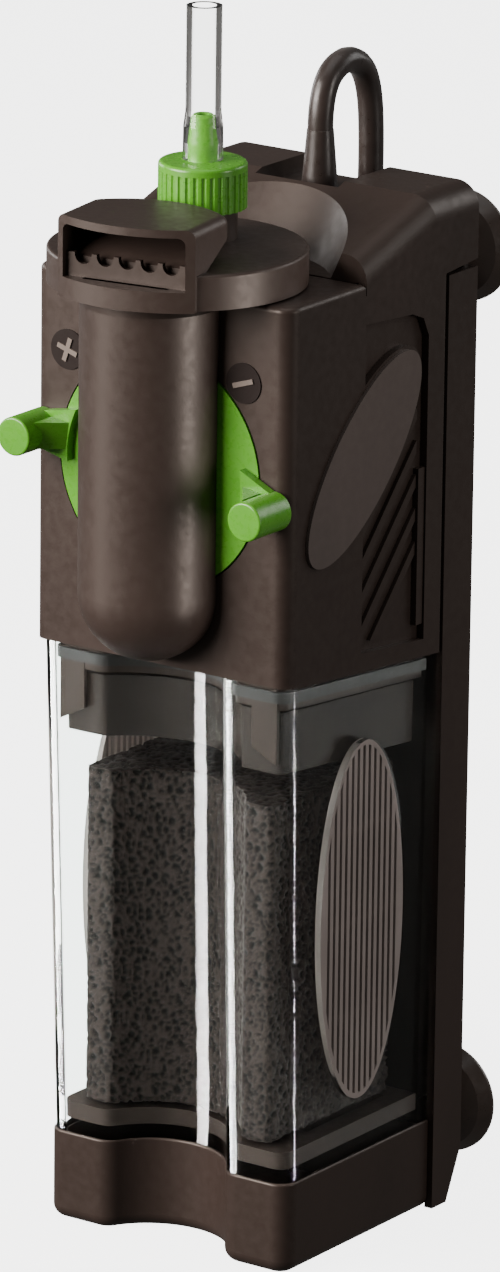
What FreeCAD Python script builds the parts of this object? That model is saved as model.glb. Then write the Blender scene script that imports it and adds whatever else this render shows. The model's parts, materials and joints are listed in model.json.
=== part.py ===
"""Internal aquarium power filter: pump head with swivel outlet and flow dial, clear
filter canister with foam, black base tray, wall bracket with suction cups, mains lead.

Frame: +Z up, -Y is the front (outlet side), origin under the middle of the body.
All lengths are millimetres.
"""
import FreeCAD, Part
import math
import os

from FreeCAD import Vector

os.makedirs("parts", exist_ok=True)

# ---------------------------------------------------------------- driving dimensions
HEAD_HALF = 40.0            # pump head, half width
HEAD_FRONT = -41.5          # front face of the pump head
BODY_REAR = 29.0            # back of the head, canister and base; the bracket starts here
BRACKET_REAR = 42.5         # back of the bracket's rear plate
WALL = 2.6                  # housing wall
CORNER = 4.5                # vertical corner radius of the head
DECK_TOP = 260.0            # top of the deck plate
DECK_THICK = 3.0
SPLIT_FRONT = 160.5         # parting line of head and canister at the front face
SPLIT_SLOPE = 0.088         # the parting line drops towards the back by this much per mm
COVER_FRONT = -8.0          # front ends of the raised rear cover
COVER_LOW = 267.0           # top of the rear cover at its front ends
COVER_TOP = 277.0           # top of the rear cover from the crest to the back
CREST_Y = 22.0
SEAM_FRONT = 252.5          # lower edge of the rear cover's skirt at its front end
SEAM_SLOPE = 0.09
CAN_TOP_HALF, CAN_LOW_HALF = 39.0, 38.0
CAN_TOP_FRONT, CAN_LOW_FRONT = -40.2, -35.8
CAN_WALL = 2.2
COLLAR_INSET = 3.4          # the head's plug, inside the canister
RIM_INSET = 4.9             # smoky basket rim on top of the foam
BASE_TOP = 25.0
GROOVE_R, GROOVE_DEPTH, GROOVE_BLEND = 20.0, 13.0, 6.0
GRILLE_Y, GRILLE_Z, GRILLE_A, GRILLE_B = -3.0, 89.0, 19.0, 49.0
DUCT_R, DUCT_Y = 18.4, -45.5        # outlet duct on the front face
DUCT_WALL = 2.3
DUCT_LOW = 181.4                    # centre of the duct's ball end
DIAL_R, DIAL_Z = 31.0, 212.5
DIAL_TURN = 8.0                     # degrees the dial rests away from level
ICON_TURN = 18.0                    # degrees the plus and minus marks lean
PIN_R, PIN_AT = 5.1, 36.5           # dial finger pins
PORT_R, PORT_DROP = 6.0, 21.0       # flow port below the dial's centre
SWIVEL_Y, SWIVEL_R = -34.5, 33.3    # swivel outlet disc
SWIVEL_LOW, SWIVEL_TOP = 260.5, 269.6
HOOD_TOP, HOOD_HALF = 281.6, 19.4
SWIVEL_TURN = 8.5                   # degrees the outlet rests turned to the right
MOUTH_FLOOR, MOUTH_BACK = 265.6, -60.7   # sill of the outlet mouth, back of its comb
SPIGOT_R = 12.0
CAP_Y = -24.0                       # air cap axis
CAP_R = 11.4
CAP_LOW, CAP_HIGH = 277.6, 289.6
HOSE_LENGTH = 40.0
HOSE_R, HOSE_BORE = 4.6, 3.1
PUMP_Y = 4.0                        # motor and impeller axis
LEAD_R = 3.4
LEAD_Y = 28.0                       # where the mains lead leaves the head
CUP_R, CUP_X, CUP_FACE = 15.0, 27.5, 54.5
CUP_Z = (22.0, 256.5)
COIL_X, COIL_Y = -64.0, 96.0
COIL_OUT, COIL_PITCH, COIL_TURNS = 42.0, 7.0, 2.1
RUN = 0.05                          # radial clearance of a running fit

X, Y, Z = Vector(1, 0, 0), Vector(0, 1, 0), Vector(0, 0, 1)


# ---------------------------------------------------------------- small helpers
def save(name, *shapes):
    """Write one node; several shapes become one group of separate solids."""
    shape = shapes[0] if len(shapes) == 1 else Part.makeCompound(list(shapes))
    if not shape.isValid() or shape.Volume <= 0:
        print("BAD", name, shape.isValid(), shape.Volume)
    shape.exportStep("parts/%s.step" % name)


def box(x0, x1, y0, y1, z0, z1):
    return Part.makeBox(x1 - x0, y1 - y0, z1 - z0, Vector(x0, y0, z0))


def rod(x, y, z, r, length, axis=Z):
    return Part.makeCylinder(r, length, Vector(x, y, z), axis)


def tube(x, y, z, r_out, r_in, length, axis=Z):
    return rod(x, y, z, r_out, length, axis).cut(rod(x, y, z, r_in, length, axis))


def fuse(first, *rest):
    shape = first
    for other in rest:
        shape = shape.fuse(other)
    return shape.removeSplitter()


def cut(first, *rest):
    shape = first
    for other in rest:
        shape = shape.cut(other)
    return shape


def prism(points, z0, z1):
    """Extrude a plan outline of (x, y) corners."""
    wire = Part.makePolygon([Vector(x, y, z0) for x, y in points + points[:1]])
    return Part.Face(wire).extrude(Vector(0, 0, z1 - z0))


def side_prism(points, x0, x1):
    """Extrude an outline of (y, z) corners along X."""
    wire = Part.makePolygon([Vector(x0, y, z) for y, z in points + points[:1]])
    return Part.Face(wire).extrude(Vector(x1 - x0, 0, 0))


def front_prism(points, y0, y1):
    """Extrude an outline of (x, z) corners along Y."""
    wire = Part.makePolygon([Vector(x, y0, z) for x, z in points + points[:1]])
    return Part.Face(wire).extrude(Vector(0, y1 - y0, 0))


def vertical_edges(shape):
    picked = []
    for edge in shape.Edges:
        ends = edge.Vertexes
        if len(ends) == 2 and abs(ends[0].X - ends[1].X) + abs(ends[0].Y - ends[1].Y) < 1e-6:
            picked.append(edge)
    return picked


def round_box(half, y0, y1, z0, z1, front_r, rear_r=1.5):
    """Upright block with rounded front corners and small rear ones."""
    block = box(-half, half, y0, y1, z0, z1)
    for y, r in ((y0, front_r), (y1, rear_r)):
        block = block.makeFillet(r, [e for e in vertical_edges(block) if abs(e.Vertexes[0].Y - y) < 1e-6])
    return block


def below(height, slope, y_ref):
    """Everything under a plane that rises by slope per mm of Y."""
    y0, y1 = -120.0, 120.0
    top0, top1 = height + slope * (y0 - y_ref), height + slope * (y1 - y_ref)
    return side_prism([(y0, -50.0), (y1, -50.0), (y1, top1), (y0, top0)], -90.0, 90.0)


def under_split(drop=0.0):
    """Everything below the sloping parting plane, lowered by drop."""
    return below(SPLIT_FRONT - drop, -SPLIT_SLOPE, HEAD_FRONT)


def revolve(points, centre, axis=Z):
    """Turn an outline of (radius, height) corners about an axis through centre."""
    wire = Part.makePolygon([Vector(r, 0, h) for r, h in points + points[:1]])
    solid = Part.Face(wire).revolve(Vector(0, 0, 0), Z, 360)
    solid = Part.makeSolid(solid.Shells[0]) if solid.ShapeType != "Solid" else solid
    if solid.Volume < 0:
        solid.reverse()
    placed = solid.copy()
    placed.Placement = FreeCAD.Placement(Vector(*centre), FreeCAD.Rotation(Z, axis))
    return placed


def grooved_wire(half, front, rear, z, corner, groove_r, depth, blend):
    """Plan outline with a round groove down the middle of its front side."""
    centre_y = front + depth - groove_r
    blend_x = math.sqrt((groove_r + blend) ** 2 - (blend - depth + groove_r) ** 2)
    scale = groove_r / (groove_r + blend)
    touch = (blend_x * scale, centre_y + (front + blend - centre_y) * scale)
    lean = math.atan2(blend_x, groove_r + blend - depth) / 2
    blend_mid = (blend_x - blend * math.sin(lean), front + blend - blend * math.cos(lean))
    k = corner * (1 - math.sqrt(0.5))

    def at(x, y):
        return Vector(x, y, z)

    edges = [Part.LineSegment(at(-half, rear), at(half, rear)),
             Part.LineSegment(at(half, rear), at(half, front + corner)),
             Part.Arc(at(half, front + corner), at(half - k, front + k), at(half - corner, front)),
             Part.LineSegment(at(half - corner, front), at(blend_x, front)),
             Part.Arc(at(blend_x, front), at(*blend_mid), at(*touch)),
             Part.Arc(at(*touch), at(0, front + depth), at(-touch[0], touch[1])),
             Part.Arc(at(-touch[0], touch[1]), at(-blend_mid[0], blend_mid[1]), at(-blend_x, front)),
             Part.LineSegment(at(-blend_x, front), at(corner - half, front)),
             Part.Arc(at(corner - half, front), at(k - half, front + k), at(-half, front + corner)),
             Part.LineSegment(at(-half, front + corner), at(-half, rear))]
    return Part.Wire([edge.toShape() for edge in edges])


def grooved_block(inset, z0, z1, rear=BODY_REAR, corner=5.0):
    """Tapered grooved column between two heights, shrunk all round by inset."""
    wires = []
    for z in (z0, z1):
        share = (z - BASE_TOP) / (SPLIT_FRONT - BASE_TOP)
        half = CAN_LOW_HALF + share * (CAN_TOP_HALF - CAN_LOW_HALF) - inset
        front = CAN_LOW_FRONT + share * (CAN_TOP_FRONT - CAN_LOW_FRONT) + inset
        wires.append(grooved_wire(half, front, rear - inset, z, corner - inset * 0.7,
                                  GROOVE_R + inset, GROOVE_DEPTH, GROOVE_BLEND - inset * 0.8))
    return Part.makeLoft(wires, True, True)


def mirrored(shape):
    return shape.mirror(Vector(0, 0, 0), X)


def ellipse_plate(long_r, short_r, tilt, centre_y, centre_z, x0, x1):
    """Elliptical plate facing X, its long axis leaning towards the back by tilt degrees."""
    lean = math.radians(tilt)
    centre = Vector(x0, centre_y, centre_z)
    long_end = centre + Vector(0, math.sin(lean), math.cos(lean)) * long_r
    short_end = centre + Vector(0, math.cos(lean), -math.sin(lean)) * short_r
    wire = Part.Wire([Part.Ellipse(long_end, short_end, centre).toShape()])
    return Part.Face(wire).extrude(Vector(x1 - x0, 0, 0))


def fillet_where(shape, radius, chosen):
    edges = [edge for edge in shape.Edges if chosen(edge.BoundBox, edge)]
    return shape.makeFillet(radius, edges)


def cord_tube(points, radius, label):
    """Round cord along straight runs joined by tangent arcs."""
    route = [Vector(*p) for p in points]
    edges, start, radii = [], route[0], []
    for before, here, after in zip(route, route[1:], route[2:]):
        run_in, run_out = here - before, after - here
        half_turn = run_in.getAngle(run_out) / 2
        reach = 0.45 * min(run_in.Length, run_out.Length)
        radii.append(round(reach / math.tan(half_turn), 1))
        side_in, side_out = Vector(run_in).normalize(), Vector(run_out).normalize()
        enter, leave = here - side_in * reach, here + side_out * reach
        inward = (side_out - side_in).normalize()
        bulge = radii[-1] / math.cos(half_turn) - radii[-1]
        edges.append(Part.LineSegment(start, enter))
        edges.append(Part.Arc(enter, here + inward * bulge, leave))
        start = leave
    edges.append(Part.LineSegment(start, route[-1]))
    path = Part.Wire([edge.toShape() for edge in edges])
    first = (route[1] - route[0]).normalize()
    section = Part.Wire([Part.Circle(route[0], first, radius).toShape()])
    solid = path.makePipeShell([section], True, False)
    share = solid.Volume / (math.pi * radius ** 2 * path.Length)
    print(label, "length", round(path.Length, 1), "volume share", round(share, 4), "radii", radii)
    return solid


# ---------------------------------------------------------------- pump head: shells
def pump_housing():
    top = DECK_TOP - DECK_THICK
    seam = below(SEAM_FRONT, SEAM_SLOPE, COVER_FRONT)
    outer = round_box(HEAD_HALF, HEAD_FRONT, BODY_REAR, 130, top, CORNER)
    inner = round_box(HEAD_HALF - WALL, HEAD_FRONT + WALL, BODY_REAR - WALL, 120, top + 1, CORNER - WALL)
    shell = outer.cut(inner).cut(under_split())
    behind = box(-50, 50, COVER_FRONT, 60, 200, 300).cut(seam)
    shell = shell.cut(behind)
    web = round_box(HEAD_HALF - WALL, HEAD_FRONT + WALL, BODY_REAR - WALL, 174.5, 176.5, CORNER - WALL)
    web = cut(web, rod(0, PUMP_Y, 170, 12.2, 10))
    shell = fuse(shell, web)
    dial_seat = rod(0, HEAD_FRONT - 0.1, DIAL_Z, DIAL_R + 0.5, 2.5, Y)
    port = rod(0, HEAD_FRONT - 1, DIAL_Z - PORT_DROP, PORT_R, 6, Y)
    pivot = rod(0, HEAD_FRONT - 1, DIAL_Z, 3.0, 6, Y)
    backing = rod(0, HEAD_FRONT + WALL, DIAL_Z, DIAL_R + 3, 2.4, Y)
    riser_hole = box(-11, 11, HEAD_FRONT - 1, HEAD_FRONT + WALL + 3, 246.5, 255)
    spigot_room = rod(0, SWIVEL_Y, 246.5, SPIGOT_R + 0.6, 20)
    shell = cut(fuse(shell, backing), dial_seat, port, pivot, riser_hole, spigot_room)
    for sign in (1, -1):
        x0, x1 = sorted((sign * (HEAD_HALF - 2.0), sign * (HEAD_HALF + 1)))
        recess = side_prism([(-8, 162.5), (20.5, 159.8), (20.5, 241), (18, 246), (13, 248), (-8, 249.5)],
                            x0, x1)
        backer = box(min(sign * 34.5, sign * 38), max(sign * 34.5, sign * 38), -12, 24, 178, 250)
        boss = ellipse_plate(33.6, 14.2, 45, -8.7, 214.5, x0, sign * HEAD_HALF)
        shell = fuse(shell, backer.common(outer))
        shell = shell.cut(recess.cut(boss))
    return shell


def side_louvres():
    """Diagonal ribs and a vertical bar inside each side recess."""
    ribs = []
    boss = ellipse_plate(34.0, 14.6, 45, -8.7, 214.5, HEAD_HALF - 3, HEAD_HALF + 1)
    field = side_prism([(-7.6, 165), (20.2, 163), (20.2, 240), (-7.6, 240)], HEAD_HALF - 2.0, HEAD_HALF - 0.5)
    for step in range(6):
        low = 157.0 + step * 9.0
        line = side_prism([(-12, low - 6), (24, low + 34), (24, low + 37.4), (-12, low - 2.6)],
                          HEAD_HALF - 2.0, HEAD_HALF - 0.9)
        rib = line.common(field).cut(boss)
        rib = rib.cut(box(0, 60, 17.0, 30, 100, 300))
        ribs.extend([piece for piece in rib.Solids if piece.Volume > 6])
    ribs.append(box(HEAD_HALF - 2.0, HEAD_HALF - 0.4, 17.4, 20.2, 164, 206))
    return ribs + [mirrored(piece) for piece in ribs]


def side_badges():
    plate = ellipse_plate(32.6, 13.2, 45, -8.7, 214.5, HEAD_HALF, HEAD_HALF + 0.9)
    return [plate, mirrored(plate)]


def deck_plate():
    plate = round_box(HEAD_HALF, HEAD_FRONT, COVER_FRONT, DECK_TOP - DECK_THICK, DECK_TOP, CORNER, 0.5)
    plate = fuse(plate, rod(0, DUCT_Y, DECK_TOP - DECK_THICK, DUCT_R, DECK_THICK))
    plate = fillet_where(plate, 1.4, lambda b, e: b.ZMin > DECK_TOP - 0.01 and b.YMax < COVER_FRONT - 0.1)
    tongue = box(-36.8, 36.8, COVER_FRONT, 26, DECK_TOP - DECK_THICK, DECK_TOP)
    return cut(fuse(plate, tongue), rod(0, SWIVEL_Y, 250, SPIGOT_R + RUN, 20))


def rear_cover():
    low, high = COVER_LOW, COVER_TOP
    outline = [(COVER_FRONT, 240), (BRACKET_REAR, 240), (BRACKET_REAR, high), (CREST_Y, high),
               (COVER_FRONT, low)]
    block = side_prism(outline, -HEAD_HALF, HEAD_HALF)
    ridge = [e for e in block.Edges
             if abs(abs(e.BoundBox.XMin) - HEAD_HALF) < 0.01 and e.BoundBox.XLength < 0.01
             and e.BoundBox.ZMin > low - 0.01]
    block = block.makeFillet(6.8, ridge)
    inside = side_prism([(COVER_FRONT + WALL, 230), (BRACKET_REAR - WALL, 230),
                         (BRACKET_REAR - WALL, high - WALL), (CREST_Y, high - WALL),
                         (COVER_FRONT + WALL, low - WALL - 1)],
                        WALL - HEAD_HALF, HEAD_HALF - WALL)
    bowl_cut = bowl(0.0)
    wall = bowl(2.2).common(block).cut(bowl_cut)
    shell = block.cut(inside).cut(bowl_cut)
    shell = fuse(shell, wall.common(box(-60, 60, COVER_FRONT, 60, DECK_TOP, 300)))
    seam = below(SEAM_FRONT, SEAM_SLOPE, COVER_FRONT)
    shell = shell.cut(seam)
    shell = shell.cut(box(-HEAD_HALF + WALL, HEAD_HALF - WALL, -20, 26.2, 240, DECK_TOP))
    shell = shell.cut(box(-37.3, 37.3, BRACKET_REAR - WALL - 0.4, 60, 230, 268.4))
    notch = box(-14, 12, LEAD_Y - 9, 60, COVER_TOP - 4.5, 300)
    floor = box(-16, 14, LEAD_Y - 11, BRACKET_REAR - WALL, COVER_TOP - 7, COVER_TOP - 2.6)
    shell = fuse(shell, floor).cut(notch)
    return shell.cut(rod(0, LEAD_Y, 250, 5.2, 40))


def bowl(grow):
    """Scoop behind the swivel disc: it leans back as it rises."""
    low = Part.Wire([Part.Circle(Vector(0, -30.5, 256.5), Z, 35.0 + grow).toShape()])
    high = Part.Wire([Part.Circle(Vector(0, -15.5, 282.0), Z, 37.5 + grow).toShape()])
    return Part.makeLoft([low, high], True, True)


def outlet_duct():
    """Round-nosed duct down the front; the dial turns behind its flat back."""
    def body(r, back):
        shape = fuse(rod(0, DUCT_Y, DUCT_LOW, r, DECK_TOP - DECK_THICK - DUCT_LOW),
                     Part.makeSphere(r, Vector(0, DUCT_Y, DUCT_LOW)))
        return shape.common(box(-30, 30, -90, back, 120, DECK_TOP - DECK_THICK))
    outer = body(DUCT_R, HEAD_FRONT)
    hollow = body(DUCT_R - DUCT_WALL, HEAD_FRONT - 2.4)
    slot = rod(0, HEAD_FRONT - 0.4, DIAL_Z, DIAL_R + 0.6, 2, Y)
    port = rod(0, HEAD_FRONT - 5, DIAL_Z - PORT_DROP, PORT_R, 8, Y)
    pivot = rod(0, HEAD_FRONT - 0.8, DIAL_Z, 3.0, 3, Y)
    window = box(-11, 11, HEAD_FRONT - 8, HEAD_FRONT + 1, 246.5, 255)
    spigot_room = rod(0, SWIVEL_Y, 246.5, SPIGOT_R + 0.6, 20)
    return cut(outer, hollow, slot, port, pivot, window, spigot_room)


def riser_box():
    """Joins the duct to the swivel spigot under the deck."""
    top, y0, y1 = DECK_TOP - DECK_THICK, HEAD_FRONT + WALL, SWIVEL_Y + 17
    shape = box(-15, 15, y0, y1, 244.2, top)
    hollow = box(-13, 13, y0 - 1, y1 - 2, 246.2, top + 1)
    dial_backing = rod(0, y0, DIAL_Z, DIAL_R + 3, 2.4, Y)
    return cut(shape, hollow, dial_backing)


def dial_icons():
    """Two raised discs on the head's face, with a plus and a minus bar, both marks a little turned."""
    discs, marks = [], []
    disc_r, z, bar_half, bar_thick = 5.3, 239.0, 3.2, 0.65
    disc_front, mark_front = HEAD_FRONT - 0.35, HEAD_FRONT - 0.75
    for x, crossed, turn in ((-29.0, True, ICON_TURN), (26.0, False, -ICON_TURN)):
        bar = box(x - bar_half, x + bar_half, mark_front, disc_front, z - bar_thick, z + bar_thick)
        if crossed:
            bar = fuse(bar, box(x - bar_thick, x + bar_thick, mark_front, disc_front,
                                z - bar_half, z + bar_half))
        bar.rotate(Vector(x, 0, z), Y, turn)
        discs.append(rod(x, disc_front, z, disc_r, 0.35, Y))
        marks.append(bar)
    return discs, marks


def locking_collar():
    """Plug under the head that enters the canister, with the inlet hole."""
    block = grooved_block(COLLAR_INSET, 140, 165).common(under_split(0.0)).cut(under_split(7.0))
    return cut(block, rod(0, PUMP_Y, 130, 10.2, 50), *tab_blocks())


def collar_seal():
    band = grooved_block(CAN_WALL + 0.35, 140, 165).cut(grooved_block(COLLAR_INSET, 135, 170))
    return cut(band.common(under_split(2.0)), under_split(5.0), *tab_blocks())


def tab_blocks():
    """Two tongues that reach down inside the canister's front corners."""
    tabs = []
    for sign in (1, -1):
        outline = [(sign * 34.2, 161), (sign * 26.5, 161), (sign * 26.5, 142.5), (sign * 34.2, 138.5)]
        tabs.append(front_prism(outline, -36.8, -35.8).common(under_split(0.0)))
    return tabs


def guide_rail():
    stem = box(-4, 4, BODY_REAR, 33.7, 170, 246)
    return fuse(stem, box(-9, 9, 33.6, 37, 170, 246))


# ---------------------------------------------------------------- pump head: drive
def drive_parts():
    floor = 182.0
    outer = fuse(rod(0, PUMP_Y, 176.5, 19, 21.5), box(-8, 8, HEAD_FRONT + WALL + 2.4, -8, 182, 198))
    save("pump_chamber", cut(outer, rod(0, PUMP_Y, floor, 16.8, 14), rod(0, PUMP_Y, 170, 12.0, 20),
                             box(-6, 6, -60, -8, 184, 196), rod(0, PUMP_Y, 190, 12.6, 20)))
    save("impeller_cover", tube(0, PUMP_Y, 176.6, 11.9, 7.5, 7.2))
    save("inlet_tube", tube(0, PUMP_Y, 146.0, 10.2, 8.2, 28.4))
    save("rotor_can", cut(rod(0, PUMP_Y, 196.2, 12.5, 46), rod(0, PUMP_Y, 190, 11.3, 50.6)))
    winding_room = box(-14, 14, PUMP_Y, 14, 200, 240).cut(rod(0, PUMP_Y, 200, 12.7, 40))
    core = cut(box(-24, 24, -6, 24, 206, 230), box(-14, 14, 11, 17, 200, 240),
               rod(0, PUMP_Y, 200, 12.6, 40), box(-4, 4, -10, PUMP_Y, 200, 240),
               winding_room.common(box(-9, 9, 8, 17, 200, 240)))
    save("stator_core", core)
    limb = box(-13.9, 13.9, 17, 24, 206, 230)
    coil = cut(box(-13, 13, 13.2, 26, 202.5, 233.5), limb, rod(0, PUMP_Y, 190, 12.8, 60))
    save("stator_coil", coil)
    case_outer = round_box(29, -13, 26.3, 199.5, 248, 5)
    inner = fuse(core, coil, rod(0, PUMP_Y, 190, 12.5, 52.2), limb)
    potting = cut(round_box(27, -11, 26.2, 201.5, 246, 3), inner, rod(0, PUMP_Y, 190, 12.5, 60))
    save("potting_resin", potting)
    case = cut(case_outer, round_box(27, -11, 26.4, 201.5, 246, 3), rod(0, PUMP_Y, 190, 12.5, 52.2))
    save("motor_case", case)
    save("rotor_shaft", rod(0, PUMP_Y, 178.0, 1.5, 61.5))
    spider = fuse(tube(0, PUMP_Y, 177.2, 3.2, 1.5, 4.0), box(3.0, 7.4, PUMP_Y - 0.7, PUMP_Y + 0.7, 177.2, 180),
                  box(-7.4, -3.0, PUMP_Y - 0.7, PUMP_Y + 0.7, 177.2, 180))
    save("shaft_bushes", spider.cut(rod(0, PUMP_Y, 170, 1.5, 40)), tube(0, PUMP_Y, 235.5, 11.3, 1.5, 4.0))


def rotor_parts():
    save("rotor_magnet", cut(rod(0, PUMP_Y, 200, 9.5, 34), rod(0, PUMP_Y, 190, 1.5 + RUN, 50)))
    hub = cut(rod(0, PUMP_Y, 184, 4.2, 16), rod(0, PUMP_Y, 180, 1.5 + RUN, 40))
    blades = []
    for step in range(6):
        blade = box(3.6, 14.6, -0.6, 0.6, 184.5, 193.5)
        blade.rotate(Vector(0, 0, 0), Z, step * 60)
        blade.translate(Vector(0, PUMP_Y, 0))
        blades.append(blade)
    save("impeller", fuse(hub, *blades).cut(rod(0, PUMP_Y, 180, 1.5 + RUN, 40)))


# ---------------------------------------------------------------- swivel outlet
def swivelled(shape):
    turned = shape.copy()
    turned.rotate(Vector(0, SWIVEL_Y, 0), Z, SWIVEL_TURN)
    return turned


def swivel_parts():
    disc = rod(0, SWIVEL_Y, SWIVEL_LOW, SWIVEL_R, SWIVEL_TOP - SWIVEL_LOW)
    disc = fillet_where(disc, 0.9, lambda b, e: b.ZMin > SWIVEL_TOP - 0.01)
    inside = HOOD_HALF - 2.1
    mouth = box(-inside, inside, -90, MOUTH_BACK + 1.1, MOUTH_FLOOR, HOOD_TOP)
    passage = box(-12, 12, MOUTH_BACK - 3, SWIVEL_Y, 262.6, 267.8)
    throat = rod(0, SWIVEL_Y, 255, SPIGOT_R - 2, 267.8 - 255)
    save("swivel_disc", cut(disc, swivelled(mouth), swivelled(passage), throat, rod(0, CAP_Y, 262, 3.5, 20)))

    sweep = rod(0, SWIVEL_Y, SWIVEL_TOP, SWIVEL_R + 0.9, HOOD_TOP - SWIVEL_TOP)
    column = box(-HOOD_HALF, HOOD_HALF, -90, 0, 200, 300)
    rear_y, rear_r = -63.0, 26.8
    hood = sweep.common(column).common(rod(0, rear_y, SWIVEL_TOP, rear_r, 20))
    hood = hood.makeFillet(4.0, [e for e in vertical_edges(hood) if e.Vertexes[0].Y > -50])
    hood = fillet_where(hood, 2.4, lambda b, e: b.ZMin > HOOD_TOP - 0.01 and b.YMax > SWIVEL_Y - 24)
    front = box(-60, 60, -90, -52, 200, 300)
    apron = tube(0, SWIVEL_Y, SWIVEL_LOW - 0.3, SWIVEL_R + 0.9, SWIVEL_R, SWIVEL_TOP - SWIVEL_LOW + 0.3)
    apron = apron.common(column).common(front)
    visor_cut = side_prism([(-56.5, SWIVEL_TOP), (-44.6, 276.0), (-20, 276.0), (-20, SWIVEL_TOP)], -30, 30)
    visor = fuse(hood.cut(visor_cut), apron)
    ceiling = HOOD_TOP - 2.1
    cavity = side_prism([(-90, MOUTH_FLOOR), (-59.6, MOUTH_FLOOR), (-59.6, 270.4), (-45.6, 277.6),
                         (-43.0, ceiling), (-90, ceiling)], -inside, inside)
    cavity = fillet_where(cavity, 2.0, lambda b, e: b.ZMin > ceiling - 0.1 and b.YLength > 30)
    cavity = cavity.common(rod(0, rear_y, 255, rear_r - 2.1, 60))
    doorway = box(-inside, inside, -90, rear_y, MOUTH_FLOOR, ceiling)
    doorway = fillet_where(doorway, 2.0, lambda b, e: b.ZMin > ceiling - 0.1 and b.YLength > 5)
    save("outlet_hood", swivelled(cut(visor, cavity, doorway)))

    comb_top = MOUTH_FLOOR + 6.2
    comb = box(-inside, inside, MOUTH_BACK - 1.5, MOUTH_BACK, MOUTH_FLOOR, comb_top)
    gaps, gap_r, pitch = 5, 2.4, 6.2
    for step in range(gaps):
        x = (step - (gaps - 1) / 2) * pitch
        comb = cut(comb, rod(x, -66, comb_top - 0.4, gap_r, 8, Y),
                   box(x - gap_r, x + gap_r, -66, -58, comb_top - 0.4, 280))
    save("outlet_comb", swivelled(comb))
    foot = 247.5
    spigot = tube(0, SWIVEL_Y, foot, SPIGOT_R, SPIGOT_R - 2, SWIVEL_LOW - foot)
    save("swivel_spigot", spigot.cut(tube(0, SWIVEL_Y, foot + 2.9, SPIGOT_R + 1, SPIGOT_R - 0.8, 2.2)))
    save("spigot_seal", Part.makeTorus(SPIGOT_R - 0.1, 0.7, Vector(0, SWIVEL_Y, foot + 4.0), Z))
    save("air_port", tube(0, CAP_Y, SWIVEL_TOP, 9.0, 3.5, CAP_LOW - SWIVEL_TOP - 0.6))


def air_cap_parts():
    low, high = CAP_LOW, CAP_HIGH
    cap = rod(0, CAP_Y, low, CAP_R, high - low)
    cap = fillet_where(cap, 1.0, lambda b, e: b.ZMin > high - 0.01)
    flutes = 34
    grooves = []
    for step in range(flutes):
        turn = 2 * math.pi * step / flutes
        out = CAP_R + 0.35
        grooves.append(rod(math.cos(turn) * out, CAP_Y + math.sin(turn) * out, low - 1, 0.75, high - low - 1.2))
    cap = cap.cut(Part.makeCompound(grooves)).cut(rod(0, CAP_Y, low - 1, 2.0, 20))
    save("air_cap", cap)
    nipple = revolve([(1.6, 0), (3.9, 0), (3.9, 4.6), (3.1, 11.4), (2.6, 12.0), (1.6, 12.0)], (0, CAP_Y, high))
    save("hose_nipple", nipple)
    hose = revolve([(3.95, 0.4), (5.2, 0.4), (5.1, 9.0), (HOSE_R, 12.6), (HOSE_R, HOSE_LENGTH),
                    (HOSE_BORE, HOSE_LENGTH), (HOSE_BORE, 12.6), (3.15, 11.4), (3.95, 4.6)], (0, CAP_Y, high))
    save("air_hose", hose)
    stem = rod(0, CAP_Y, 266.0, 2.0, high - 266.0)
    save("needle_stem", stem)


# ---------------------------------------------------------------- flow dial
def dial_parts():
    front, back = HEAD_FRONT - 0.2, HEAD_FRONT + 2.2
    disc = cut(rod(0, front, DIAL_Z, DIAL_R, back - front, Y), rod(0, front - 1, DIAL_Z, 3.0 + RUN, 9, Y),
               rod(0, front - 1, DIAL_Z - PORT_DROP, PORT_R, 9, Y))
    ears, pins = [], []
    for sign in (1, -1):
        ear_front = HEAD_FRONT - 2.8
        ear = front_prism([(sign * 22, DIAL_Z - 6.5), (sign * 22, DIAL_Z + 9.5), (sign * (PIN_AT - 1), DIAL_Z + PIN_R),
                           (sign * PIN_AT, DIAL_Z), (sign * (PIN_AT - 1), DIAL_Z - PIN_R)],
                          ear_front, HEAD_FRONT - 0.35)
        inner = rod(0, ear_front - 1, DIAL_Z, 27.2, 4, Y)
        foot = front_prism([(sign * 26.0, DIAL_Z - 6), (sign * 26.0, DIAL_Z + 8), (sign * 30.4, DIAL_Z + 5.5),
                            (sign * 30.6, DIAL_Z - 5.5)], ear_front + 1, HEAD_FRONT + 0.2)
        ears.append(fuse(ear.cut(inner), foot.cut(inner)))
        pin = rod(sign * PIN_AT, HEAD_FRONT - 14, DIAL_Z, PIN_R, 13.65, Y)
        pin = fillet_where(pin, 0.6, lambda b, e: b.YMax < HEAD_FRONT - 13.9)
        gusset = prism([(sign * 27.4, HEAD_FRONT - 2.6), (sign * 33, HEAD_FRONT - 2.6),
                        (sign * 33, HEAD_FRONT - 10.5)], DIAL_Z - 3.0, DIAL_Z + 4.2)
        ears.append(gusset)
        pins.append(pin)
    dial = fuse(disc, *ears)
    pins = [pin.cut(dial) for pin in pins]
    for shape in [dial] + pins:
        shape.rotate(Vector(0, 0, DIAL_Z), Y, DIAL_TURN)
    save("flow_dial", dial)
    save("dial_pins", *pins)
    save("dial_pivot", rod(0, HEAD_FRONT - 0.8, DIAL_Z, 3.0, 7.0, Y))


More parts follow.
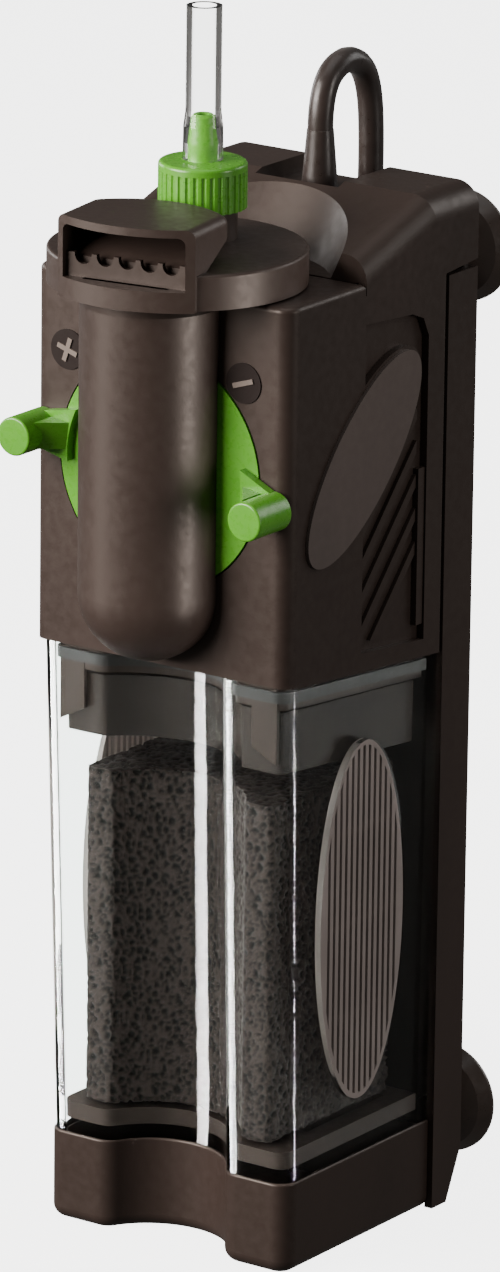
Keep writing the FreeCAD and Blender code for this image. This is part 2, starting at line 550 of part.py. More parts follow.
# ---------------------------------------------------------------- canister and base
def canister_parts():
    shell = grooved_block(0.0, BASE_TOP - 1.0, 168.0).cut(grooved_block(CAN_WALL, BASE_TOP - 2.0, 170.0))
    shell = shell.common(under_split(0.3))
    hole = ellipse_plate(GRILLE_B, GRILLE_A, 0, GRILLE_Y, GRILLE_Z, -60, 60)
    save("canister", shell.cut(hole))
    for name, sign in (("intake_grille_right", 1), ("intake_grille_left", -1)):
        x0, x1 = sorted((sign * 35.9, sign * 38.2))
        plate = ellipse_plate(GRILLE_B - 0.2, GRILLE_A - 0.2, 0, GRILLE_Y, GRILLE_Z, x0, x1)
        web = ellipse_plate(GRILLE_B - 1.6, GRILLE_A - 1.6, 0, GRILLE_Y, GRILLE_Z, x0 - 1, x1 + 1)
        slots = [box(x0 - 1, x1 + 1, GRILLE_Y + k * 2.5 - 0.55, GRILLE_Y + k * 2.5 + 0.55, 30, 150)
                 for k in range(-6, 7)]
        b0, b1 = sorted((sign * 35.0, sign * 37.3))
        bridge = Part.makeCompound([box(b0, b1, -30, 20, z - 0.8, z + 0.8) for z in (64, 89, 114)])
        save(name, plate.cut(Part.makeCompound(slots).common(web).cut(bridge)))
    rim_outer = grooved_block(RIM_INSET, 120, 165)
    rim_inner = grooved_block(RIM_INSET + 1.6, 110, 170)
    upper = rim_outer.cut(rim_inner).common(under_split(8.0)).cut(under_split(24.5))
    plate = rim_outer.common(under_split(22.5)).cut(under_split(24.5)).cut(rod(0, PUMP_Y, 90, 12, 90))
    save("basket_rim", fuse(upper, plate))
    support = grooved_block(CAN_WALL + 0.3, BASE_TOP + 3.0, BASE_TOP + 7.6)
    holes = [box(x, x + 4.0, -16, 20, 20, 40) for x in range(-30, 28, 8)]
    save("foam_support", support.cut(Part.makeCompound(holes)))


def base_tray():
    half, front = CAN_LOW_HALF + 0.5, CAN_LOW_FRONT - 0.5
    outline = grooved_wire(half, front, BODY_REAR, 0, 5.0, GROOVE_R, GROOVE_DEPTH, GROOVE_BLEND)
    block = Part.Face(outline).extrude(Vector(0, 0, BASE_TOP))
    bottom = [e for e in block.Edges if e.BoundBox.ZMax < 0.01 and e.BoundBox.YMin < BODY_REAR - 0.1]
    block = block.makeFillet(3.5, bottom)
    block = fillet_where(block, 0.8, lambda b, e: b.ZMin > BASE_TOP - 0.01 and b.YMin < BODY_REAR - 0.1)
    seat = grooved_block(-0.05, BASE_TOP - 1.0, BASE_TOP + 2, BODY_REAR + 2)
    well = grooved_wire(half - 3, front + 3, BODY_REAR - 3, 3.0, 3.0, GROOVE_R + 3, GROOVE_DEPTH, GROOVE_BLEND - 3)
    return block.cut(Part.Face(well).extrude(Vector(0, 0, 60))).cut(seat)


def foam_parts():
    outline = grooved_wire(29.8, -32.0, 22.0, 33.4, 2.0, GROOVE_R + 4, GROOVE_DEPTH - 0.5, 2.0)
    save("filter_foam", Part.Face(outline).extrude(Vector(0, 0, 92.0)))


# ---------------------------------------------------------------- wall bracket
def bracket_parts():
    wing_in = 37.6
    web = box(-37.0, 37.0, 40.1, BRACKET_REAR, 0, 267.8)
    edges = [e for e in web.Edges if e.BoundBox.ZMin > 267.7 and e.BoundBox.XLength < 0.01]
    web = web.makeFillet(8.0, edges)
    parts = [web]
    for sign in (1, -1):
        x0, x1 = sorted((sign * wing_in, sign * HEAD_HALF))
        parts.append(box(x0, x1, BODY_REAR + 0.4, BRACKET_REAR, 0, 255.0))
        a, b = sorted((sign * 36.5, sign * wing_in))
        parts.append(box(a, b, 40.1, BRACKET_REAR, 0, 255.0))
    bracket = fuse(*parts)
    chamfer = side_prism([(BODY_REAR + 2, -1), (60, -1), (60, 22), (BRACKET_REAR, 14), (36, 0)], -60, 60)
    bracket = bracket.cut(chamfer)
    for sign in (1, -1):
        x0, x1 = sorted((sign * 9.7, sign * 12))
        a, b = sorted((sign * 4.6, sign * 12))
        bracket = fuse(bracket, box(x0, x1, 30.6, 40.2, 120, 245), box(a, b, 30.6, 33.0, 120, 245))
    holes = [rod(x * CUP_X, 39, z, 3.0 + RUN, 5, Y) for x in (1, -1) for z in CUP_Z]
    bracket = cut(bracket, *holes)
    save("wall_bracket", bracket)
    profile = [(0, -6.6), (4.6, -6.6), (4.6, -2.6), (3.0, -2.6), (3.0, 0.2), (5.4, 0.2), (6.0, 3.4), (12.6, 8.0),
               (CUP_R, 11.2), (CUP_R, 12.0), (12.4, 12.0), (8.0, 8.8), (0, 7.4)]
    names = {(1, 0): "suction_cup_right_low", (-1, 0): "suction_cup_left_low",
             (1, 1): "suction_cup_right_top", (-1, 1): "suction_cup_left_top"}
    for (side, level), name in names.items():
        save(name, revolve(profile, (side * CUP_X, BRACKET_REAR, CUP_Z[level]), Y))


# ---------------------------------------------------------------- mains lead
LEAD_ROUTE = [(0, 28, 288), (0, 28, 299.4), (0, 39, 305.8), (0, 50, 299.4), (0.6, 51, 276), (-0.8, 50.3, 233),
              (0.9, 51, 153), (-0.5, 50.5, 78), (0.5, 51, 34), (-0.5, 61.4, 15), (-2.5, 79.5, 4.4),
              (-7.5, 96, 3.8), (-19.0, 111.4, 3.8), (-34.3, 125.7, 3.8)]
COIL_END = 120.0                    # angle at which the lead leaves the coil for the plug
PLUG_PIN_AT, PLUG_PIN_R, PLUG_PIN_LENGTH = 9.3, 2.0, 17.0


def coil_frame(turn):
    """Outward and forward directions of the coil at an angle."""
    a = math.radians(turn)
    return Vector(math.cos(a), math.sin(a), 0), Vector(-math.sin(a), math.cos(a), 0)


def lead_parts():
    layer = 2 * LEAD_R + 0.1
    relief_low = 262.0
    relief_top = LEAD_ROUTE[0][2] - relief_low
    floor = COVER_TOP - 4.5 - relief_low
    save("strain_relief", revolve([(0, 0), (5.15, 0), (5.15, floor), (4.8, floor), (3.5, relief_top),
                                   (0, relief_top)], (0, LEAD_Y, relief_low)))
    save("mains_lead", cord_tube(LEAD_ROUTE, LEAD_R, "mains_lead"))
    inner = COIL_OUT - COIL_PITCH * COIL_TURNS
    ring = tube(COIL_X, COIL_Y, 0.2, COIL_OUT + LEAD_R + 0.2, inner - LEAD_R - 0.2, 2 * layer)
    save("lead_coil", ring.makeFillet(2.5, ring.Edges))
    out, along = coil_frame(COIL_END)
    centre = Vector(COIL_X, COIL_Y, 0)

    def spot(radial, forward, z):
        return tuple(centre + out * radial + along * forward + Z * z)

    top = 2 * layer + 0.2
    tail = [spot(42, -14, top + 0.6), spot(42, -1, top + 1.4), spot(37, 11.2, top + 2.8),
            spot(27.6, 20.5, top + 4.6), spot(15.4, 25.6, top + 6.2), spot(5.4, 26.2, top + 7.0)]
    save("lead_tail", cord_tube(tail, LEAD_R, "lead_tail"))
    heading = FreeCAD.Rotation(Z, out * -1)
    origin = Vector(*tail[-1])

    def plug_frame(shape):
        placed = shape.copy()
        placed.Placement = FreeCAD.Placement(origin, heading)
        return placed
    sleeve, face = 16, 48
    relief = revolve([(0, 0), (4.2, 0), (5.4, sleeve), (0, sleeve)], (0, 0, 0))
    save("plug_relief", plug_frame(relief))
    body = box(-13, 13, -6.9, 6.9, sleeve, face)
    body = body.makeFillet(3.0, body.Edges)
    level = FreeCAD.Placement(origin, plug_turn(out, along))
    body.Placement = level
    save("plug_body", body)
    pins = []
    for sign in (1, -1):
        pin = rod(sign * PLUG_PIN_AT, 0, face, PLUG_PIN_R, PLUG_PIN_LENGTH)
        pin = fillet_where(pin, 1.2, lambda b, e: b.ZMin > face + PLUG_PIN_LENGTH - 0.1)
        pin.Placement = level
        pins.append(pin)
    save("plug_pins", *pins)


def plug_turn(out, along):
    """Rotation that sends local Z along the plug and local X across it, level."""
    ahead = out * -1
    matrix = FreeCAD.Matrix(along.x, 0, ahead.x, 0, along.y, 0, ahead.y, 0, 0, -1, 0, 0, 0, 0, 0, 1)
    return FreeCAD.Rotation(matrix)


# ---------------------------------------------------------------- build everything
save("pump_housing", pump_housing())
save("side_louvres", *side_louvres())
save("side_badges", *side_badges())
save("deck_plate", deck_plate())
save("rear_cover", rear_cover())
save("outlet_duct", outlet_duct())
save("riser_box", riser_box())
ICON_DISCS, ICON_MARKS = dial_icons()
save("icon_discs", *ICON_DISCS)
save("icon_marks", *ICON_MARKS)
save("locking_collar", locking_collar())
save("collar_seal", collar_seal())
save("locking_tabs", *tab_blocks())
save("guide_rail", guide_rail())
drive_parts()
rotor_parts()
swivel_parts()
air_cap_parts()
dial_parts()
canister_parts()
save("base_tray", base_tray())
foam_parts()
bracket_parts()
lead_parts()
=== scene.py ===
import json
import math

import bmesh
import bpy
from mathutils import Matrix, Vector, noise


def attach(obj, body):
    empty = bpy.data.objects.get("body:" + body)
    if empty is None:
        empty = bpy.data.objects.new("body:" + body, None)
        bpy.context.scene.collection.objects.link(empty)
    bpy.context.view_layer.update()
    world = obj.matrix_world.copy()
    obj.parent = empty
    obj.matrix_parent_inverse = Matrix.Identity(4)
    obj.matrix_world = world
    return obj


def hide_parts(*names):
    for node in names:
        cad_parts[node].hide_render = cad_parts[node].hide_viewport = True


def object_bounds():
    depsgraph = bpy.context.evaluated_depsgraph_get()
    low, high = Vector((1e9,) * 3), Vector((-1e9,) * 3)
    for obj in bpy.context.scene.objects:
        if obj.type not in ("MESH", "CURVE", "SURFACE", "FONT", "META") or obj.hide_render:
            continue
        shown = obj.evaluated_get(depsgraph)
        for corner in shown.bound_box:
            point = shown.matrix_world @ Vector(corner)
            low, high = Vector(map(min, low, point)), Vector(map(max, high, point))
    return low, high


# Looks of an internal aquarium power filter. Everything is in metres, in the frame of the CAD model.
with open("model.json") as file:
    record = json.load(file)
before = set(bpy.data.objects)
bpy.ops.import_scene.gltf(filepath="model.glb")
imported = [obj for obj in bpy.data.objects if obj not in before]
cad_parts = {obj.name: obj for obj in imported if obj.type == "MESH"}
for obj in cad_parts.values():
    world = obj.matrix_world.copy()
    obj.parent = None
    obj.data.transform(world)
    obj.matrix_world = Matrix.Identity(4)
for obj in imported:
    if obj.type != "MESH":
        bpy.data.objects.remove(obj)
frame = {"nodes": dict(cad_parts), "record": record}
CAD_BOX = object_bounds()
NODES = frame["nodes"]

# ---------------------------------------------------------------- camera and light
CAMERA_AZIMUTH, CAMERA_ELEVATION, CAMERA_ROLL = 35.17, 16.58, 0.71     # degrees
CAMERA_TARGET = Vector((-0.0005, 0.0, 0.158))
CAMERA_DISTANCE = 2.2286
CAMERA_LENS = 242.8                 # on the 36 mm sensor
FLOOR_SIZE = 9.0
FLOOR_DROP = 0.0002                 # the floor lies a hair under the base, so that the two don't flicker

NEUTRAL, WARM = (1.0, 0.99, 0.98), (1.0, 0.93, 0.88)
# name: azimuth and elevation seen from the object, distance, width, height, watts, colour
SOFTBOXES = {
    "key_left": (-32.0, 22.0, 1.15, 0.85, 0.66, 44.0, WARM),
    "side_right": (100.0, 14.0, 0.9, 0.22, 0.40, 2.4, WARM),
    "overhead": (20.0, 86.0, 1.6, 1.4, 1.4, 9.0, NEUTRAL),
    "back_right": (150.0, 24.0, 1.3, 0.6, 0.6, 4.0, NEUTRAL),
    "back_left": (-98.0, 12.0, 1.3, 0.6, 0.6, 6.0, NEUTRAL),
}
# the same, for cards that light only the named nodes, as bright streaks
WALL_NODES = ("canister",)
WALL_CARDS = {
    "groove_card": (-57.0, -20.0, 0.45, 0.25, 0.34, 95.0, NEUTRAL),
    "corner_card": (120.0, -20.0, 0.50, 0.05, 0.34, 18.0, NEUTRAL),
}
ROUND_NODES = ("outlet_duct", "outlet_hood", "swivel_disc")
ROUND_CARDS = {
    "duct_left": (-46.0, -4.0, 0.80, 0.26, 0.60, 1.6, WARM),
    "duct_right": (94.0, -4.0, 0.80, 0.26, 0.60, 8.0, WARM),
}
WORLD_COLOUR, WORLD_STRENGTH = (1.0, 0.97, 0.94, 1.0), 0.12
FLOOR_GLOW = 4.4                    # the floor glows to the eye, but lights nothing and isn't reflected
FLOOR_PAPER = (0.30, 0.30, 0.30)


def direction(azimuth, elevation):
    """Unit vector from the object towards a camera or lamp; azimuth 0 is in front, on the -Y side."""
    a, e = math.radians(azimuth), math.radians(elevation)
    return Vector((math.sin(a) * math.cos(e), -math.cos(a) * math.cos(e), math.sin(e)))


def add_object(name, data):
    """A new object in the scene."""
    made = bpy.data.objects.new(name, data)
    bpy.context.scene.collection.objects.link(made)
    return made


def add_camera():
    """The photograph's view: a long lens, turned a little about its own axis."""
    data = bpy.data.cameras.new("camera")
    data.lens = CAMERA_LENS
    camera = add_object("camera", data)
    back = direction(CAMERA_AZIMUTH, CAMERA_ELEVATION)
    right = Vector((math.cos(math.radians(CAMERA_AZIMUTH)), math.sin(math.radians(CAMERA_AZIMUTH)), 0.0))
    up = back.cross(right)
    roll = math.radians(CAMERA_ROLL)
    across = right * math.cos(roll) + up * math.sin(roll)
    upward = up * math.cos(roll) - right * math.sin(roll)
    turn = Matrix((across, upward, back)).transposed().to_4x4()
    camera.matrix_world = Matrix.Translation(CAMERA_TARGET + back * CAMERA_DISTANCE) @ turn
    bpy.context.scene.camera = camera


def add_lamp(name, azimuth, elevation, distance, width, height, watts, colour):
    """Area lamp that faces the object and isn't itself seen, directly or through the clear wall."""
    data = bpy.data.lights.new(name, "AREA")
    data.shape = "RECTANGLE"
    data.size, data.size_y = width, height
    data.energy, data.color = watts, colour
    lamp = add_object(name, data)
    lamp.visible_camera = lamp.visible_transmission = False
    towards = direction(azimuth, elevation)
    lamp.location = CAMERA_TARGET + towards * distance
    lamp.rotation_mode = "QUATERNION"
    lamp.rotation_quaternion = (-towards).to_track_quat("-Z", "Y")
    return lamp


def add_lamps():
    """The softboxes light everything; the cards light their own nodes."""
    for name, setting in SOFTBOXES.items():
        add_lamp(name, *setting)
    for cards, nodes in ((WALL_CARDS, WALL_NODES), (ROUND_CARDS, ROUND_NODES)):
        lit = bpy.data.collections.new("_".join(cards))
        for node in nodes:
            lit.objects.link(NODES[node])
        for name, setting in cards.items():
            add_lamp(name, *setting).light_linking.receiver_collection = lit


def add_world():
    world = bpy.data.worlds.new("studio")
    world.use_nodes = True
    background = world.node_tree.nodes["Background"]
    background.inputs["Color"].default_value = WORLD_COLOUR
    background.inputs["Strength"].default_value = WORLD_STRENGTH
    bpy.context.scene.world = world


# ---------------------------------------------------------------- material helpers
NOISE_LOW, NOISE_HIGH = 0.3, 0.7    # most of a noise lies between these


class Surface:
    """One material with a Principled shader, and short calls that add the nodes of its pattern."""

    def __init__(self, name, colour, roughness, **constants):
        self.material = bpy.data.materials.new(name)
        self.material.use_nodes = True
        self.tree = self.material.node_tree
        self.shader = self.tree.nodes["Principled BSDF"]
        self.set(Base_Color=(*colour, 1.0), Roughness=roughness, **constants)
        self.place = self.node("ShaderNodeTexCoord").outputs["Object"]

    def set(self, **constants):
        for name, value in constants.items():
            self.shader.inputs[name.replace("_", " ")].default_value = value

    def node(self, kind, **settings):
        made = self.tree.nodes.new(kind)
        for name, value in settings.items():
            setattr(made, name, value)
        return made

    def link(self, source, node, socket):
        self.tree.links.new(source, node.inputs[socket])

    def stretched(self, stretch):
        """Object coordinates multiplied by (x, y, z)."""
        mapping = self.node("ShaderNodeMapping")
        mapping.inputs["Scale"].default_value = stretch
        self.link(self.place, mapping, "Vector")
        return mapping.outputs["Vector"]

    def noise(self, scale, detail=2.0, place=None):
        """Noise from 0 to 1 whose features are about 1 / scale metres apart."""
        made = self.node("ShaderNodeTexNoise")
        made.inputs["Scale"].default_value = scale
        made.inputs["Detail"].default_value = detail
        self.link(place or self.place, made, "Vector")
        return made.outputs["Fac"]

    def remap(self, value, low, high, to_low, to_high):
        """Value scaled from low..high to to_low..to_high, and held inside it."""
        made = self.node("ShaderNodeMapRange", clamp=True)
        self.link(value, made, "Value")
        for name, number in zip(("From Min", "From Max", "To Min", "To Max"), (low, high, to_low, to_high)):
            made.inputs[name].default_value = number
        return made.outputs["Result"]

    def tint(self, value, dark, light, low=NOISE_LOW, high=NOISE_HIGH):
        """Base colour that runs from dark to light as value runs from low to high."""
        made = self.node("ShaderNodeMix", data_type="RGBA")
        self.link(self.remap(value, low, high, 0.0, 1.0), made, "Factor")
        made.inputs["A"].default_value = (*dark, 1.0)
        made.inputs["B"].default_value = (*light, 1.0)
        self.link(made.outputs["Result"], self.shader, "Base Color")
        return self

    def gloss(self, value, low, high):
        """Roughness that runs from low to high with value, a noise."""
        self.link(self.remap(value, NOISE_LOW, NOISE_HIGH, low, high), self.shader, "Roughness")
        return self

    def bump(self, value, strength, height):
        """Relief of the given height in metres, in which value says how high the surface lies."""
        made = self.node("ShaderNodeBump")
        made.inputs["Strength"].default_value = strength
        made.inputs["Distance"].default_value = height
        self.link(value, made, "Height")
        self.link(made.outputs["Normal"], self.shader, "Normal")
        return self

    def lets_lamps_through(self, share):
        """Shadow rays pass the clear wall, so that what is inside is lit."""
        mix = self.node("ShaderNodeMixShader")
        clear = self.node("ShaderNodeBsdfTransparent")
        clear.inputs["Color"].default_value = (share, share, share, 1.0)
        self.link(self.node("ShaderNodeLightPath").outputs["Is Shadow Ray"], mix, 0)
        self.link(self.shader.outputs["BSDF"], mix, 1)
        self.link(clear.outputs["BSDF"], mix, 2)
        self.link(mix.outputs["Shader"], self.tree.nodes["Material Output"], "Surface")
        return self


# ---------------------------------------------------------------- materials, one function per slot
def shade(colour, factor):
    """The colour made darker or lighter."""
    return tuple(c * factor for c in colour)


def moulded(name, colour, roughness, grain=1600.0, level=0.35):
    """Injection-moulded plastic with a spark-eroded grain and faint flow marks."""
    made = Surface(name, colour, roughness, Specular_IOR_Level=level, Specular_Tint=(1.0, 0.9, 0.83, 1.0))
    fine = made.noise(grain, detail=3.0)
    flow = made.noise(28.0, detail=4.0, place=made.stretched((1.0, 1.0, 0.35)))
    made.tint(flow, shade(colour, 0.86), shade(colour, 1.14))
    made.gloss(made.noise(420.0, detail=2.0), roughness - 0.05, roughness + 0.06)
    return made.bump(fine, 0.35, 0.00004)


def black_plastic():
    return moulded("black_plastic", (0.027, 0.0185, 0.0155), 0.42, level=0.38)


def badge_grey():
    return moulded("badge_grey", (0.085, 0.068, 0.062), 0.36, grain=2400.0, level=0.5)


def icon_dark():
    return moulded("icon_dark", (0.007, 0.004, 0.004), 0.5, level=0.2)


def icon_light():
    return moulded("icon_light", (0.14, 0.115, 0.10), 0.45)


def inner_plastic():
    return moulded("inner_plastic", (0.09, 0.085, 0.08), 0.42)


def resin():
    return moulded("resin", (0.045, 0.045, 0.05), 0.22, grain=240.0)


def green_plastic():
    made = Surface("green_plastic", (0.075, 0.28, 0.016), 0.30, Specular_IOR_Level=0.5)
    made.set(Subsurface_Weight=0.12, Subsurface_Scale=0.002)
    made.shader.inputs["Subsurface Radius"].default_value = (0.4, 1.0, 0.2)
    made.tint(made.noise(60.0, detail=3.0), (0.064, 0.25, 0.012), (0.088, 0.31, 0.020))
    made.gloss(made.noise(700.0), 0.24, 0.36)
    return made.bump(made.noise(1900.0), 0.25, 0.00002)


def clear_plastic():
    """Clear styrene wall: faintly green, with soft flow ripples from the mould."""
    made = Surface("clear_plastic", (0.93, 0.97, 0.96), 0.03, Transmission_Weight=1.0, IOR=1.12)
    ripple = made.noise(55.0, detail=1.0, place=made.stretched((1.0, 1.0, 0.15)))
    made.bump(ripple, 0.25, 0.0003)
    made.gloss(made.noise(130.0), 0.015, 0.05)
    return made.lets_lamps_through(0.26)


def hose_clear():
    made = Surface("hose_clear", (0.97, 0.975, 0.97), 0.05, Transmission_Weight=1.0, IOR=1.42)
    made.bump(made.noise(90.0, detail=1.0, place=made.stretched((1.0, 1.0, 0.1))), 0.3, 0.0003)
    return made.lets_lamps_through(0.88)


def frosted_plastic():
    """Ribbed intake grille: brown-grey translucent plastic."""
    made = Surface("frosted_plastic", (0.305, 0.263, 0.245), 0.34, Transmission_Weight=0.2, IOR=1.45)
    made.tint(made.noise(45.0, detail=3.0), (0.27, 0.23, 0.215), (0.34, 0.295, 0.275))
    made.bump(made.noise(1500.0), 0.25, 0.00003)
    return made.lets_lamps_through(0.35)


def smoke_plastic():
    """Smoky brown see-through rim over the foam."""
    made = Surface("smoke_plastic", (0.035, 0.026, 0.022), 0.2, Transmission_Weight=0.3, IOR=1.45)
    made.tint(made.noise(50.0, detail=2.0), (0.028, 0.020, 0.017), (0.042, 0.032, 0.027))
    made.bump(made.noise(900.0), 0.2, 0.00003)
    return made.lets_lamps_through(0.45)


def rubber(name, colour, roughness):
    """Soft rubber or PVC with a fine matt skin and a little bloom."""
    made = Surface(name, colour, roughness, Specular_IOR_Level=0.4, Sheen_Weight=0.105)
    made.tint(made.noise(140.0, detail=4.0), shade(colour, 0.82), shade(colour, 1.2))
    made.gloss(made.noise(520.0, detail=2.0), roughness - 0.07, roughness + 0.07)
    return made.bump(made.noise(2300.0), 0.3, 0.00003)


def rubber_black():
    return rubber("rubber_black", (0.022, 0.021, 0.021), 0.55)


def cup_rubber():
    return rubber("cup_rubber", (0.045, 0.032, 0.026), 0.34)


def lead_rubber():
    return rubber("lead_rubber", (0.018, 0.012, 0.010), 0.34)


def metal(name, colour, roughness, lines, stretch):
    """Brushed or drawn metal, its scratches along the squeezed direction."""
    made = Surface(name, colour, roughness, Metallic=1.0)
    grain = made.noise(lines, detail=3.0, place=made.stretched(stretch))
    made.tint(grain, shade(colour, 0.82), shade(colour, 1.1))
    made.gloss(grain, roughness - 0.08, roughness + 0.1)
    return made.bump(grain, 0.2, 0.00002)


def pin_metal():
    return metal("pin_metal", (0.74, 0.71, 0.64), 0.26, 900.0, (1.0, 1.0, 1.0))


def core_steel():
    """Stack of thin laminations: the lines lie level."""
    return metal("core_steel", (0.42, 0.42, 0.44), 0.38, 260.0, (0.05, 0.05, 8.0))


def coil_copper():
    """Enamelled wire: fine turns round the upright core."""
    return metal("coil_copper", (0.72, 0.30, 0.12), 0.30, 300.0, (0.05, 0.05, 7.0))


def shaft_ceramic():
    made = Surface("shaft_ceramic", (0.86, 0.84, 0.78), 0.18, Coat_Weight=0.3)
    made.tint(made.noise(300.0, detail=3.0), (0.82, 0.80, 0.74), (0.90, 0.88, 0.83))
    return made.bump(made.noise(1800.0), 0.15, 0.00001)


def magnet():
    made = Surface("magnet", (0.055, 0.055, 0.06), 0.42, Metallic=0.35)
    made.tint(made.noise(700.0, detail=5.0), (0.035, 0.035, 0.04), (0.085, 0.085, 0.09))
    return made.bump(made.noise(1200.0, detail=4.0), 0.4, 0.00005)


def foam_black():
    """Open-cell foam: the pores between the cell walls are painted near black, a painted shade in the
    hollows.
    """
    made = Surface("foam_black", (0.016, 0.011, 0.009), 0.6, Specular_IOR_Level=0.25, Sheen_Weight=0.03)
    wall = made.node("ShaderNodeAttribute", attribute_name="cell_wall_not_pore_shade").outputs["Fac"]
    # painted shade: the pores get a near-black colour and the cell walls a lighter one
    made.tint(wall, (0.0012, 0.0008, 0.0007), (0.040, 0.028, 0.024), low=0.0, high=1.0)
    return made.bump(made.noise(2600.0, detail=3.0), 0.5, 0.00012)


SLOT_FINISH = {f.__name__: f for f in (
    black_plastic, badge_grey, icon_dark, icon_light, rubber_black, cup_rubber, lead_rubber, pin_metal,
    inner_plastic, resin, core_steel, coil_copper, shaft_ceramic, magnet, green_plastic, hose_clear,
    clear_plastic, frosted_plastic, smoke_plastic, foam_black)}
FINISHED = {}


def finish_of(slot):
    """The material of a slot, made once."""
    if slot not in FINISHED:
        FINISHED[slot] = SLOT_FINISH[slot]().material
    return FINISHED[slot]


def dress(piece, slot):
    piece.data.materials.clear()
    piece.data.materials.append(finish_of(slot))


def dress_cad_nodes():
    for subpart in frame["record"]["subparts"]:
        dress(NODES[subpart["node"]], subpart["material_slot"])


def add_piece(piece, slot, body):
    """A piece of the object that Blender makes: its material, its slot and the body it moves with."""
    dress(piece, slot)
    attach(piece, body)
    return piece


# ---------------------------------------------------------------- foam
FOAM_VOXEL = 0.00066
FOAM_CELL = 0.0019          # from one pore to the next
FOAM_DEPTH = 0.0009         # how far a pore goes in
FOAM_SWIRL = 0.0007         # how much the cell walls wander
FOAM_SWIRL_SIZE = 1.6 * FOAM_CELL
FOAM_PORE_EDGE = 0.55       # the voronoi gap at which a pore has its full depth
FOAM_INSET = 0.0001         # how far the cell walls stay inside the CAD solid


def meshed(piece):
    """The piece's mesh with its modifiers applied."""
    graph = bpy.context.evaluated_depsgraph_get()
    return bpy.data.meshes.new_from_object(piece.evaluated_get(graph))


def smooth(mesh):
    mesh.polygons.foreach_set("use_smooth", [True] * len(mesh.polygons))


def porous_foam():
    """The foam block with its open cells as real hollows, inside the solid that CAD gives it."""
    block = add_object("foam_source", NODES["filter_foam"].data.copy())
    remesh = block.modifiers.new("grid", "REMESH")
    remesh.mode = "VOXEL"
    remesh.voxel_size = FOAM_VOXEL
    mesh = meshed(block)
    bpy.data.objects.remove(block)
    normals = [v.normal.copy() for v in mesh.vertices]
    walls = []
    for vertex, normal in zip(mesh.vertices, normals):
        place = vertex.co + noise.noise_vector(vertex.co / FOAM_SWIRL_SIZE) * FOAM_SWIRL
        near = noise.voronoi(place / FOAM_CELL)[0]
        gap = min(1.0, (near[1] - near[0]) / FOAM_PORE_EDGE)
        pore = gap * gap * (3.0 - 2.0 * gap)
        vertex.co -= normal * (FOAM_INSET + FOAM_DEPTH * pore)
        # the cell-wall share, from which the foam's material paints the pores dark as painted shade
        walls.append((1.0 - pore) ** 2)
    attribute = mesh.attributes.new("cell_wall_not_pore_shade", "FLOAT", "POINT")
    attribute.data.foreach_set("value", walls)
    smooth(mesh)
    foam = add_piece(add_object("porous_foam", mesh), "foam_black", "filter_cartridge")
    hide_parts("filter_foam")


# ---------------------------------------------------------------- mains lead
MM = 0.001
LEAD_RADIUS = 0.0034
LEAD_ROUTE = [(0, 28, 288), (0, 28, 299.4), (0, 39, 305.8), (0, 50, 299.4), (0.6, 51, 276), (-0.8, 50.3, 233),
              (0.9, 51, 153), (-0.5, 50.5, 78), (0.5, 51, 34), (-0.5, 61.4, 15), (-2.5, 79.5, 4.4),
              (-7.5, 96, 3.8), (-19.0, 111.4, 3.8), (-34.3, 125.7, 3.8)]
LEAD_TAIL = [(-72.9, 139.4, 14.6), (-84.1, 132.9, 15.4), (-92.2, 122.4, 16.8), (-95.6, 109.7, 18.6),
             (-93.9, 96.5, 20.2), (-89.4, 87.6, 21.0)]
COIL_CENTRE = (-64.0, 96.0)
COIL_OUT, COIL_IN = 42.0, 27.3              # radius of the outermost and innermost turn
COIL_LOW, COIL_HIGH = 3.8, 10.7             # height of the lower and upper layer
COIL_START, COIL_SWEEP = 45.0, 1485.0       # degrees
COIL_STEPS = 66                             # points along the whole coil
CLIMB_START, CLIMB_SPAN = 0.47, 0.06        # where the coil goes up to its upper layer, as shares of it


def coil_points():
    """The turns spiral inwards on the floor and back outwards on top of those."""
    points = []
    for step in range(1, COIL_STEPS):
        share = step / COIL_STEPS
        angle = math.radians(COIL_START + COIL_SWEEP * share)
        inward = 1.0 - abs(2.0 * share - 1.0)
        radius = COIL_OUT + (COIL_IN - COIL_OUT) * inward
        climb = min(1.0, max(0.0, (share - CLIMB_START) / CLIMB_SPAN))
        points.append((COIL_CENTRE[0] + radius * math.cos(angle), COIL_CENTRE[1] + radius * math.sin(angle),
                       COIL_LOW + (COIL_HIGH - COIL_LOW) * climb))
    return points


def nurbs_cord(name, points, radius):
    """Round cord along a smooth curve that the points, in millimetres, steer."""
    curve = bpy.data.curves.new(name, "CURVE")
    curve.dimensions = "3D"
    curve.bevel_depth = radius
    curve.bevel_resolution = 6
    curve.resolution_u = 10
    curve.use_fill_caps = True
    spline = curve.splines.new("NURBS")
    spline.points.add(len(points) - 1)
    for point, (x, y, z) in zip(spline.points, points):
        point.co = (x * MM, y * MM, z * MM, 1.0)
    spline.order_u = 3
    spline.use_endpoint_u = True
    return add_object(name, curve)


def mains_lead():
    """The lead as one cord, from the rear cover to the plug's sleeve."""
    lead = nurbs_cord("lead_sheath", LEAD_ROUTE + coil_points() + LEAD_TAIL, LEAD_RADIUS)
    add_piece(lead, "lead_rubber", "pump_head")
    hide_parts("mains_lead", "lead_coil", "lead_tail")


TIE_ANGLE = 200.0                           # where the strap holds the coil, in degrees
TIE_HALF_WIDTH, TIE_THICK = 0.0023, 0.0007
TIE_CORNER, TIE_CORNER_STEPS = 0.0030, 6
TIE_LOW, TIE_SLACK = 0.0001, 0.0010         # metres above the floor, and beyond twice the layers' spacing
TIE_REACH = 4.4 * MM                        # from the middle of the end turns to the strap's outer face


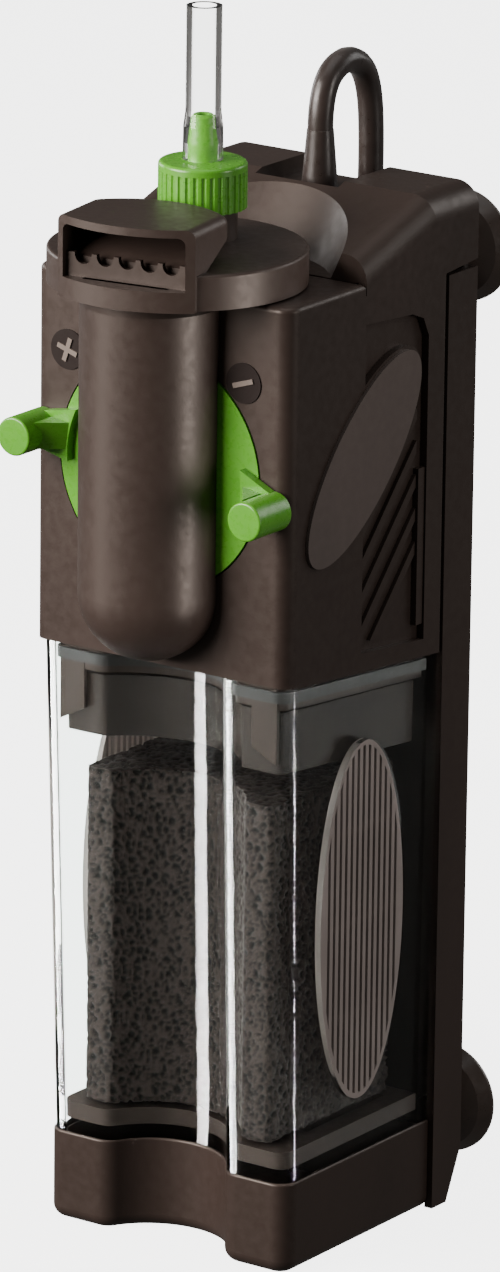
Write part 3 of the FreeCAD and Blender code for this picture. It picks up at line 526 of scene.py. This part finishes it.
def tie_ring():
    """The strap's outer face as radius, height and angle of its normal: a rounded oblong."""
    high = 2 * (COIL_HIGH - COIL_LOW) * MM + TIE_SLACK
    inner, outer = COIL_IN * MM - TIE_REACH, COIL_OUT * MM + TIE_REACH
    ring = []
    for r, z, start in ((outer, high, 0), (inner, high, 90), (inner, TIE_LOW, 180), (outer, TIE_LOW, 270)):
        turn_r = r + (TIE_CORNER if start in (90, 180) else -TIE_CORNER)
        turn_z = z + (-TIE_CORNER if start in (0, 90) else TIE_CORNER)
        for step in range(TIE_CORNER_STEPS + 1):
            a = math.radians(start + 90.0 * step / TIE_CORNER_STEPS)
            ring.append((turn_r + TIE_CORNER * math.cos(a), turn_z + TIE_CORNER * math.sin(a), a))
    return ring


def coil_tie():
    """Flat strap round the bundle of turns."""
    work = bmesh.new()
    a0 = math.radians(TIE_ANGLE)
    along, side = Vector((math.cos(a0), math.sin(a0), 0.0)), Vector((-math.sin(a0), math.cos(a0), 0.0))
    centre = Vector((COIL_CENTRE[0] * MM, COIL_CENTRE[1] * MM, 0.0))
    section = ((-TIE_HALF_WIDTH, 0.0), (TIE_HALF_WIDTH, 0.0),
               (TIE_HALF_WIDTH, TIE_THICK), (-TIE_HALF_WIDTH, TIE_THICK))
    rows = []
    for r, z, a in tie_ring():
        row = []
        for shift, lift in section:
            spot = centre + along * (r - lift * math.cos(a)) + side * shift
            row.append(work.verts.new((spot.x, spot.y, z - lift * math.sin(a))))
        rows.append(row)
    for row, following in zip(rows, rows[1:] + rows[:1]):
        for k in range(4):
            work.faces.new((row[k], row[(k + 1) % 4], following[(k + 1) % 4], following[k]))
    bmesh.ops.recalc_face_normals(work, faces=work.faces)
    mesh = bpy.data.meshes.new("coil_tie")
    work.to_mesh(mesh)
    work.free()
    tie = add_object("coil_tie", mesh)
    bevel = tie.modifiers.new("soft_edges", "BEVEL")
    bevel.width, bevel.segments = 0.0002, 2
    add_piece(tie, "rubber_black", "pump_head")


# ---------------------------------------------------------------- stage
def add_floor():
    """Plain pale sheet that looks evenly lit and casts no light on the object."""
    work = bmesh.new()
    bmesh.ops.create_grid(work, x_segments=1, y_segments=1, size=FLOOR_SIZE / 2)
    mesh = bpy.data.meshes.new("floor")
    work.to_mesh(mesh)
    work.free()
    floor = add_object("floor", mesh)
    floor.location.z = CAD_BOX[0].z - FLOOR_DROP
    pale = Surface("floor_paper", FLOOR_PAPER, 0.85, Specular_IOR_Level=0.1)
    pale.tint(pale.noise(6.0, detail=3.0), (0.29, 0.29, 0.288), (0.31, 0.31, 0.308))
    floor.data.materials.append(pale.material)
    pale.set(Emission_Color=(1.0, 1.0, 0.995, 1.0))
    path = pale.node("ShaderNodeLightPath")
    bounced = pale.node("ShaderNodeMath", operation="ADD")
    pale.link(path.outputs["Diffuse Depth"], bounced, 0)
    pale.link(path.outputs["Glossy Depth"], bounced, 1)
    glow = pale.remap(bounced.outputs["Value"], 0.0, 1.0, FLOOR_GLOW, 0.0)
    pale.link(glow, pale.shader, "Emission Strength")
    pale.material.cycles.emission_sampling = "NONE"
    floor.visible_glossy = floor.visible_diffuse = False


add_camera()
add_world()
add_lamps()
add_floor()
dress_cad_nodes()
mains_lead()
coil_tie()
porous_foam()
